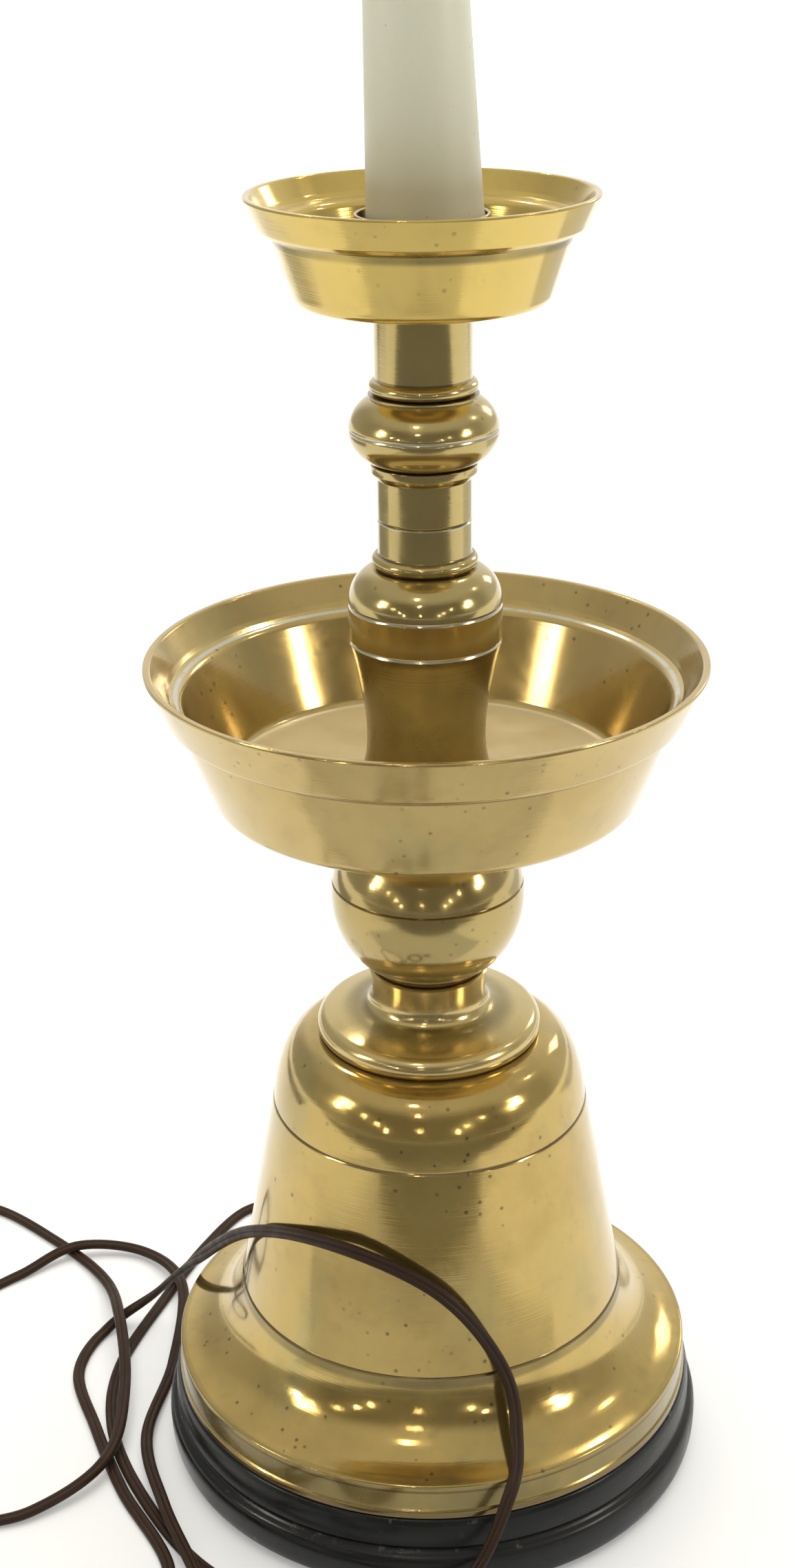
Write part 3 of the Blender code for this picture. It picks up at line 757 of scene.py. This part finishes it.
def make_plug(finish, blade_finish):
    side = [(0.0, 3.4), (2.0, 3.9), (5.0, 4.6), (10.0, 6.4), (15.0, 8.6), (19.0, 10.6), (23.0, 11.5)]
    side.append((29.8, 11.5))
    outline = [(PLUG_X + x, TAIL_Y - y) for x, y in side]
    outline += [(PLUG_X + x, TAIL_Y + y) for x, y in side[::-1]]
    body = keep("plug", plate("plug", outline, 0.4, 12.2, 1.6, 4), LAMP, finish, ("plug_body",))
    parts = [body]
    face = PLUG_X + 29.9
    for node, offset in (("plug_blade_left", 6.35), ("plug_blade_right", -6.35)):
        y = TAIL_Y + offset
        blade = oblong(face, face + 17.0, y - 0.75, y + 0.75)
        mesh = plate(node, blade, 3.2, 9.4, 0.3, 2)
        piece = keep(node + "_fine", mesh, LAMP, blade_finish, (node,))
        hole = Matrix.Translation(Vector((face + 12.5, y, 6.3)) * MM)
        drill(piece, hole @ Matrix.Rotation(math.radians(90), 4, "X"), 1.6, -3.0, 3.0)
        parts.append(piece)
    for k in range(4):
        name = f"plug_rib_{k}"
        x = PLUG_X + 19.0 + 2.4 * k
        rib = oblong(x, x + 1.1, TAIL_Y - 8.6, TAIL_Y + 8.6)
        parts.append(keep(name, plate(name, rib, 11.9, 12.3, 0.15, 2), LAMP, finish))
    return parts


def make_strain_relief(rubber):
    along = Matrix.Translation(Vector((0, 0, CORD_HOLE_Z)) * MM)
    along = along @ Matrix.Rotation(CORD_ANGLE, 4, "Z") @ Matrix.Rotation(math.radians(90), 4, "Y")
    relief = [(0.0, 139.0), (3.1, 139.0, 0.3), (3.4, 137.0)]
    for k in range(5):
        z = 135.4 - 3.1 * k
        relief += [(3.5 + 0.28 * k, z + 0.5), (3.1 + 0.28 * k, z, 0.2), (3.1 + 0.28 * k, z - 1.0, 0.2),
                   (3.7 + 0.28 * k, z - 1.4, 0.2)]
    relief += [(5.0, 120.6), (6.6, 119.9, 0.3), (6.6, 117.1, 0.3), (4.2, 117.1), (4.2, 104.2), (0.0, 104.2)]
    return lathe("strain_relief", "cord_bushing", relief, rubber, 48, False, along)


def make_tie(rubber):
    """An oval band round the coil's turns."""
    ring = Matrix.Translation(Vector((COIL_CENTRE[0], COIL_CENTRE[1] + COIL_R, COIL_Z)) * MM)
    ring = ring @ Matrix.Rotation(math.radians(90), 4, "Y")
    band = [arc((0, 0), radii, 0, 352.5, 48) for radii in ((4.2, 7.1), (3.3, 6.2))]
    verts = [(x * MM, y * MM, z * MM) for z in (-2.5, 2.5) for loop in band for x, y in loop]
    faces = []
    for k in range(48):
        n = (k + 1) % 48
        faces += [(k, n, 96 + n, 96 + k), (48 + n, 48 + k, 144 + k, 144 + n)]
        faces += [(n, k, 48 + k, 48 + n), (96 + k, 96 + n, 144 + n, 144 + k)]
    mesh = bpy.data.meshes.new("tie_band")
    mesh.from_pydata(verts, [], faces)
    smooth(mesh)
    return keep("tie_band", mesh, LAMP, rubber, ("coil_tie",), ring)


def make_cord():
    brown = cord_brown()
    rubber = dull("black_rubber", (0.02, 0.02, 0.02), 0.6)
    run = CORD_ROUTE + coil_route()
    run += [(TAIL_X, TAIL_Y + 0.2, 4.8), (TAIL_X + 10.0, TAIL_Y, 5.4), (TAIL_X + 20.5, TAIL_Y, 6.3)]
    path = smooth_path(run, 0.003)
    solids = ("cord_run", "cord_coil", "cord_tail")
    cord = keep("lamp_cord", cord_mesh("lamp_cord", path), LAMP, brown, solids)
    bushing = make_strain_relief(rubber)
    tie = make_tie(rubber)
    plug = make_plug(dull("black_phenolic", (0.018, 0.016, 0.016), 0.32, 500.0, 0.1), bright_brass())


# ---------------------------------------------------------------- plinth
def make_plinth():
    wood = black_wood()
    outline = [(111.6, 34.3, 0.8)]
    outline += bend((112.6, 32.0), (113.6, 28.0), (113.4, 22.4), 7)
    outline += [(112.7, 20.6), (112.8, 19.9), (113.6, 19.0)]
    outline += bend((113.6, 19.0), (117.2, 18.4), (116.6, 10.0), 9)[1:]
    outline += bend((116.6, 10.0), (116.5, 3.0), (114.0, 1.8), 8)[1:]
    outline += [(30.0, 1.8, 0.6), (30.0, 20.0, 0.5), (5.2, 20.0), (5.2, 34.3)]
    lathe("plinth", "wood_plinth", outline, wood, 160)
    pad = [(111.0, 1.5, 0.3), (111.0, 0.0, 0.3), (31.0, 0.0, 0.3), (31.0, 1.5, 0.3)]
    lathe("felt_disc", "felt_pad", pad, felt(), 128)


# ---------------------------------------------------------------- brass turnings
def make_bell():
    # Painted shade: the dark bands darken the shoulder and lower lines, the lip's foot and the line under
    # the flange's edge, partly as tarnish residue; the brown bands are stains on the lip, and residue with
    # painted shade below the lower line.
    metal = brass("brass_bell", (0.55, 0.395, 0.122), 0.13, 1.0,
                  dark=((166.5, 0.45), (80.0, 0.55), (36.0, 1.5, 109.0, 113.0), (47.2, 0.5, 109.0, 113.0)),
                  brown=((43.5, 6.5, 108.0, 113.0), (78.0, 2.0, 81.0, 84.0)))
    outline = [(5.2, 197.0), (45.4, 197.0)]
    outline += bend((45.4, 197.0), (61.8, 197.5), (65.4, 167.2), 22)[1:]
    outline += [(65.2, 166.5), (65.9, 165.8)]
    outline += [(65.9 + (81.5 - 65.9) * t, 165.8 + (80.7 - 165.8) * t) for t in (0.25, 0.5, 0.75)]
    outline += [(81.5, 80.7), (81.1, 80.0), (82.0, 79.3)]
    outline += bend((82.0, 79.3), (87.0, 54.3), (108.6, 50.4), 22)[1:]
    outline += [(110.4, 50.0, 1.8), (110.5, 47.0), (110.5, 38.6), (111.3, 37.6, 0.5), (111.3, 34.6, 0.5)]
    outline += [(107.0, 34.6), (107.0, 46.8)]
    outline += bend((106.0, 47.2), (84.0, 51.0), (78.4, 80.0), 8)
    outline += [(62.4, 166.5)]
    outline += bend((62.4, 166.5), (59.0, 192.0), (44.0, 192.6), 6)[1:]
    outline += [(5.2, 192.6)]
    lathe("bell", "bell_base", outline, metal, 192)


def make_base_cap():
    # Painted shade: the dark band where the disc meets the bell and the brown band in the fillet at the
    # neck's foot.
    metal = brass("brass_disc", (0.62, 0.48, 0.20), 0.17, 0.3, dark=((197.4, 0.8),), brown=((208.6, 1.2),))
    outline = [(5.2, 226.2), (23.6, 226.2), (24.4, 225.6)]
    outline += bend((24.4, 225.6), (23.2, 220.0), (23.2, 215.6), 6)[1:]
    outline += bend((23.2, 215.6), (23.2, 208.8), (30.4, 207.9), 12)[1:]
    outline += bend((30.4, 207.9), (36.0, 207.3), (41.8, 205.9), 6)[1:-1]
    outline += arc((40.9, 200.6), (5.3, 5.4), 78, -28, 16)
    outline += [(45.2, 197.3), (5.2, 197.3)]
    lathe("disc_and_neck", "base_cap", outline, metal, 144)


def make_lower_knop():
    # Painted shade: dark bands in the ball's groove and at its foot.
    metal = brass("brass_lower_knop", (0.47, 0.355, 0.13), 0.14, 0.5, dark=((265.4, 0.45), (227.0, 0.5)))
    outline = [(5.2, 304.3), (24.0, 304.3), (24.0, 292.4)]
    outline += arc((8.0, 259.0), (31.2, 35.5), 66.0, 11.4, 20) + [(38.1, 265.4)]
    outline += arc((8.0, 259.0), (31.2, 35.5), 9.4, -61.5, 26)
    outline += [(22.6, 226.9, 0.2), (22.2, 226.5), (5.2, 226.5)]
    lathe("lower_ball", "lower_knop", outline, metal, 144)


def make_large_pan():
    # Painted shade in the dark band under the rim's step outside; painted highlight in the pale band along
    # the ledge inside; the floor band is dust painted paler as a painted highlight of glare.
    metal = brass("brass_large_pan", (0.55, 0.405, 0.145), 0.15, 0.7, dark=((340.4, 0.8, 95.4, 99.0),),
                  pale=((348.2, 0.35, 95.0, 99.8),), dust_and_glare=(311.0, 1.8, 5.0, 79.4), metal=0.8)
    outline = [(106.5, 360.1), (107.2, 360.6, 0.3), (109.3, 360.6, 0.5), (109.5, 359.6)]
    outline += [(102.5, 344.6), (101.6, 342.6, 0.6), (99.8, 341.3), (97.2, 340.6, 0.5), (96.9, 339.6)]
    outline += [(85.6, 309.0)] + bend((85.6, 309.0), (84.0, 304.7), (80.8, 304.6), 8)[1:]
    outline += [(5.2, 304.6), (5.2, 311.0), (77.6, 311.0)]
    outline += bend((77.6, 311.0), (80.2, 311.2), (81.4, 314.6), 7)[1:]
    outline += [(94.4, 345.6)] + bend((94.4, 345.6), (95.2, 347.6), (97.6, 348.3), 6)[1:]
    outline += [(99.6, 349.4), (100.8, 351.0, 0.5)]
    lathe("large_pan", "large_drip_pan", outline, metal, 192)


def make_vase_stem():
    # Painted shade in the dark bands at the beads and the foot; painted highlights in the pale bands on the
    # collar edges and the top edge; the broad brown band is a painted dark reflection of the pan's inside
    # on the lower part.
    metal = brass("brass_vase", (0.49, 0.38, 0.145), 0.14, 0.45,
                  dark=((402.6, 0.4), (397.3, 0.4), (312.4, 1.2)),
                  pale=((382.6, 0.75), (368.4, 0.75), (415.2, 0.35)),
                  brown=((338.0, 27.0),))
    outline = [(5.2, 415.5), (17.4, 415.5), (17.9, 415.1), (17.9, 402.9, 0.3)]
    outline += arc((17.6, 399.9), (2.9, 2.6), 78, -78, 14)
    outline += [(18.4, 397.0, 0.2), (20.4, 396.8, 0.3)]
    outline += bend((20.6, 396.8), (28.9, 393.6), (29.6, 383.4), 16)[1:]
    outline += [(29.2, 382.6), (29.7, 381.8), (29.7, 369.2), (29.2, 368.4), (29.6, 367.6)]
    outline += bend((29.5, 367.0), (26.5, 355.0), (23.7, 338.0), 12)
    outline += bend((23.5, 335.0), (22.4, 317.0), (27.4, 311.3), 14)
    outline += [(5.2, 311.3)]
    lathe("vase", "vase_stem", outline, metal, 144)


def make_upper_stem():
    # Painted shade in the dark bands at the beads, the collar and under the top pan; painted highlight in
    # the pale band round the knop's middle.
    metal = brass("brass_upper_stem", (0.51, 0.395, 0.15), 0.14, 0.45,
                  dark=((469.4, 0.4), (463.6, 0.4), (432.6, 0.4), (437.4, 0.4), (495.5, 1.0)),
                  pale=((450.5, 0.55),))
    outline = [(5.2, 497.0), (19.3, 497.0), (18.7, 495.4), (18.3, 492.6), (18.2, 469.4, 0.3)]
    outline += arc((17.6, 466.4), (2.9, 2.6), 78, -78, 14)
    outline += [(18.6, 463.7, 0.2), (20.8, 463.5, 0.3)]
    for a in np.radians(np.linspace(60, -66, 40)):
        r = 11.4 + 17.0 * abs(math.cos(a)) ** 0.92
        z = 450.2 + 13.9 * math.copysign(abs(math.sin(a)) ** 1.04, a)
        outline.append((r - (0.4 if abs(z - 450.5) < 0.5 else 0.0), z))
    outline += [(20.2, 437.2, 0.2), (20.2, 434.2, 0.4), (18.8, 432.6, 0.4), (17.9, 431.6)]
    outline += [(17.9, 416.4), (17.5, 415.8), (5.2, 415.8)]
    lathe("upper_turning", "upper_stem", outline, metal, 144)


def make_top_pan():
    # Painted shade in the brown band under the rim's step outside; the floor band is dust painted near
    # white as a painted highlight of glare.
    metal = brass("brass_top_pan", (0.69, 0.505, 0.135), 0.14, 0.4, brown=((521.4, 2.2, 53.0, 58.0),),
                  dust_and_glare=(501.0, 1.8, 5.0, 43.6), dust_and_glare_colour=(0.88, 0.80, 0.54))
    outline = [(61.6, 535.2), (62.2, 535.7, 0.3), (63.9, 535.7, 0.4), (64.2, 534.9)]
    outline += [(60.4, 526.8), (59.5, 524.6, 0.6), (57.6, 523.0), (55.0, 522.1, 0.4), (54.6, 521.2)]
    outline += [(47.9, 501.6)] + bend((47.9, 501.6), (46.8, 497.5), (43.8, 497.3), 8)[1:]
    outline += [(5.2, 497.3), (5.2, 501.0), (42.2, 501.0)]
    outline += bend((42.2, 501.0), (44.2, 501.2), (45.2, 503.8), 6)[1:]
    outline += [(51.8, 523.9)] + bend((51.8, 523.9), (52.4, 525.6), (54.4, 526.2), 5)[1:]
    outline += [(56.8, 527.2), (58.0, 528.6, 0.4)]
    lathe("top_pan", "top_drip_pan", outline, metal, 160)
    cup = [(23.7, 528.6, 0.3), (24.7, 528.5, 0.4), (24.7, 519.0, 0.8), (20.0, 512.0, 0.8), (20.0, 501.3)]
    cup += [(10.4, 501.3), (10.4, 521.5), (23.3, 521.5), (23.3, 528.2)]
    # Painted shade in the dark band where the candle stands in the cup.
    worn = brass("brass_cup", (0.50, 0.365, 0.12), 0.18, 0.5, dark=((521.0, 1.2),))
    lathe("cup", "candle_cup", cup, worn, 112)


# ---------------------------------------------------------------- candle and lamp socket
def make_candle():
    white = candle_white()
    outer = [(16.7, 130.0, 0.5)]
    outer += [(16.7 + 4.75 * (1 - t), 130.0 * t) for t in (0.85, 0.7, 0.5, 0.3, 0.15, 0.06)]
    outer += [(21.6, 0.0, 0.3), (20.0, 0.0), (15.1, 130.0)]
    lathe("sleeve", "candle_sleeve", outer, white, 112, place=CANDLE)
    cap = [(5.2, 132.4), (15.0, 132.4), (17.6, 131.9, 0.5), (18.2, 131.2), (18.0, 130.3), (5.2, 130.3)]
    lathe("cap_disc", "sleeve_cap", cap, brass("brass_cap", roughness=0.18), 96, place=CANDLE)


def make_socket():
    metal = brass("brass_socket", (0.60, 0.46, 0.18), 0.2, 0.3)
    low = SOCKET_Z
    cap = [(7.6, low, 0.3), (5.2, low), (5.2, low + 2.0), (9.0, low + 2.6)]
    cap += bend((9.0, low + 2.6), (13.6, low + 6.0), (14.8, low + 13.0), 8)[1:]
    cap += [(15.4, low + 18.4), (17.9, low + 18.4, 0.3), (17.9, low + 17.4, 0.2), (17.5, low + 16.9, 0.2)]
    cap += [(17.5, low + 16.2, 0.2), (17.9, low + 15.8, 0.2), (17.8, low + 14.8)]
    cap += bend((17.6, low + 14.4), (15.6, low + 5.4), (9.6, low + 1.0), 12)
    lathe("socket_foot", "socket_cap", cap, metal, 96, place=CANDLE)

    shell = [(16.5, low + 59.0, 0.2), (17.1, low + 58.6, 0.2), (17.2, low + 57.6)]
    shell += [(17.0, low + 57.0), (17.0, low + 48.0)]
    for k in range(3):
        z = low + 46.6 - 2.2 * k
        shell += [(17.0, z, 0.2), (16.6, z - 0.5, 0.2), (17.0, z - 1.0, 0.2)]
    shell += [(17.0, low + 18.9, 0.3), (16.1, low + 18.9), (16.1, low + 59.0)]
    outer = lathe("socket_tube", "socket_shell", shell, metal, 96, place=CANDLE)
    drill(outer, KNOB_AXIS, 3.2, 8.0, 30.0)
    liner = [(15.7, low + 58.0, 0.2), (15.7, low + 38.4), (14.6, low + 38.4), (14.6, low + 58.0, 0.2)]
    fibre = dull("fibre_liner", (0.30, 0.20, 0.12), 0.85, 600.0)
    lathe("liner", "socket_liner", liner, fibre, 72, place=CANDLE)
    threads = [(14.2, low + 57.0)]
    for turn in range(5):
        z = low + 55.0 - 3.6 * turn
        threads += [(14.2, z, 0.5), (13.5, z - 1.8, 0.5)]
    threads += [(14.2, low + 38.6), (11.0, low + 38.6), (11.0, low + 39.4), (12.6, low + 39.4)]
    for turn in range(4, -1, -1):
        z = low + 55.0 - 3.6 * turn
        threads += [(12.8, z - 1.8, 0.5), (13.4, z, 0.5)]
    threads += [(13.4, low + 57.0)]
    inner = bright_brass()
    lathe("thread_shell", "screw_shell", threads, inner, 72, place=CANDLE)
    tip = [(0.0, low + 41.6), (2.6, low + 41.5), (3.6, low + 40.8, 0.4), (4.6, low + 38.5)]
    tip.append((0.0, low + 38.5))
    lathe("contact", "centre_contact", tip, inner, 32, False, CANDLE)


def make_knob():
    black = dull("knob_phenolic", (0.016, 0.015, 0.015), 0.3, 500.0, 0.1)
    outline = []
    for i in range(48):
        a = math.radians(7.5 * i)
        reach = 5.1 + 1.4 * math.cos(2 * a)
        outline.append((reach * math.cos(a), reach * math.sin(a)))
    mesh = plate("turn_knob", outline, 24.4, 36.9, 1.2, 4)
    keep("turn_knob", mesh, KNOB, black, ("switch_knob",), KNOB_AXIS)
    shaft = [(0.0, 24.0), (1.9, 24.0, 0.3), (1.9, 4.0, 0.3), (0.0, 4.0)]
    lathe("turn_shaft", "knob_shaft", shaft, bright_brass(), 24, False, KNOB_AXIS, KNOB)


# ---------------------------------------------------------------- pieces that keep their CAD shape
def make_hidden_pieces():
    zinc = steel()
    looks = {
        "base_washer": zinc,
        "cord_in_pipe": cord_brown(),
        "sleeve_spacer": dull("spacer_fibre", (0.3, 0.2, 0.12), 0.85),
        "switch_body": dull("switch_phenolic", (0.02, 0.018, 0.018), 0.35),
    }
    for node in ("lock_washer", "base_nut", "top_nut", "lamp_pipe", "candle_pipe", "pipe_coupling"):
        looks[node] = zinc
    for node, finish in looks.items():
        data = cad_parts[node].data
        data.materials.clear()
        data.materials.append(finish)


make_camera()
make_cord()
make_floor()
make_backdrop()
make_light()
make_plinth()
make_bell()
make_base_cap()
make_lower_knop()
make_large_pan()
make_vase_stem()
make_upper_stem()
make_top_pan()
make_candle()
make_socket()
make_knob()
make_hidden_pieces()
